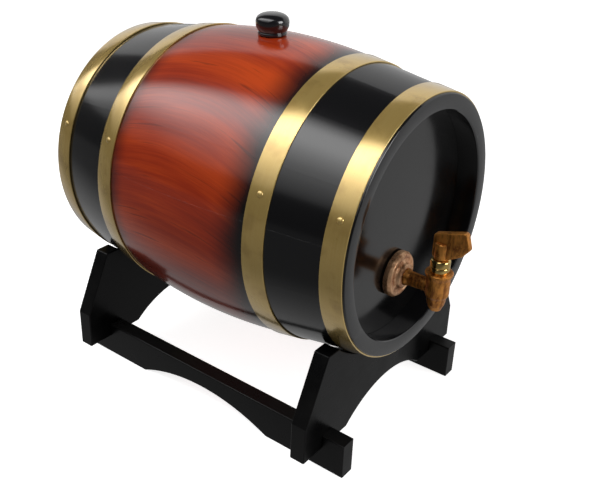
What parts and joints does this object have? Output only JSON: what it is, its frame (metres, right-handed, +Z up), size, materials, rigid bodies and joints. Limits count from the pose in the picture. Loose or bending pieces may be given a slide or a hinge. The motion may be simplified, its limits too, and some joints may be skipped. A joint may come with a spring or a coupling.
{
  "type": "wine barrel",
  "caption": "Small oak wine barrel with brass hoops, a knobbed bung on top and a quarter-turn tap in the front head, resting on a separate cradle stand.",
  "frame": {"origin": "centre of the whole object's footprint box, on the floor", "axes": "+Z up; +Y along the barrel's axis from the tap end to the rear; +X to the right when facing the tap from the front"},
  "size_m": [0.2098, 0.2934, 0.2795],
  "materials": {
    "stave_lacquered_oak": "glossy mahogany lacquer fading to black at the ends",
    "head_black_oak": "glossy black lacquer",
    "hoop_brass": "brushed, lightly polished",
    "fastener_brass": "polished",
    "plain_beech": "unfinished",
    "bung_black": "glossy black lacquer",
    "seal_silicone": "matte",
    "tap_bronze": "bronzed, polished",
    "rosette_bronze": "bronzed, fine cast texture",
    "collar_gold": "polished gold colour",
    "plug_brass": "machined",
    "o_ring_rubber": "matte",
    "pin_steel": "brushed",
    "screw_steel": "zinc plated",
    "stand_black_wood": "satin black paint"
  },
  "bodies": {
    "stand": {"front_cradle": "stand_black_wood", "rear_cradle": "stand_black_wood", "left_rail": "stand_black_wood", "right_rail": "stand_black_wood", "stand_screws": "screw_steel"},
    "barrel": {"bung_stave": "stave_lacquered_oak", "stave_02": "stave_lacquered_oak", "stave_03": "stave_lacquered_oak", "stave_04": "stave_lacquered_oak", "stave_05": "stave_lacquered_oak", "stave_06": "stave_lacquered_oak", "stave_07": "stave_lacquered_oak", "stave_08": "stave_lacquered_oak", "stave_09": "stave_lacquered_oak", "stave_10": "stave_lacquered_oak", "stave_11": "stave_lacquered_oak", "stave_12": "stave_lacquered_oak", "stave_13": "stave_lacquered_oak", "stave_14": "stave_lacquered_oak", "stave_15": "stave_lacquered_oak", "stave_16": "stave_lacquered_oak", "front_head_left": "head_black_oak", "front_head_centre": "head_black_oak", "front_head_right": "head_black_oak", "rear_head_left": "head_black_oak", "rear_head_centre": "head_black_oak", "rear_head_right": "head_black_oak", "front_head_dowels": "plain_beech", "rear_head_dowels": "plain_beech", "front_chime_hoop": "hoop_brass", "front_bilge_hoop": "hoop_brass", "rear_bilge_hoop": "hoop_brass", "rear_chime_hoop": "hoop_brass", "hoop_nails": "fastener_brass", "hoop_rivets": "fastener_brass", "tap_body": "tap_bronze", "tap_rosette": "rosette_bronze", "tap_gasket": "seal_silicone", "shank_sleeve": "seal_silicone", "gland_collar": "collar_gold"},
    "bung": {"bung": "bung_black", "bung_ring": "seal_silicone"},
    "valve": {"valve_plug": "plug_brass", "plug_o_rings": "o_ring_rubber", "tap_handle": "tap_bronze", "handle_pin": "pin_steel"}
  },
  "joints": [
    {"name": "barrel_lift", "type": "slide", "parent": "stand", "child": "barrel", "axis": [0, 0, 1], "range_m": [0, 0.1]},
    {"name": "bung_pull", "type": "slide", "parent": "barrel", "child": "bung", "axis": [0, 0, 1], "range_m": [0, 0.045]},
    {"name": "valve_turn", "type": "hinge", "parent": "barrel", "child": "valve", "pos_m": [0, -0.12697, 0.1202], "axis": [0, 0, 1], "range_deg": [0, 90]}
  ]
}
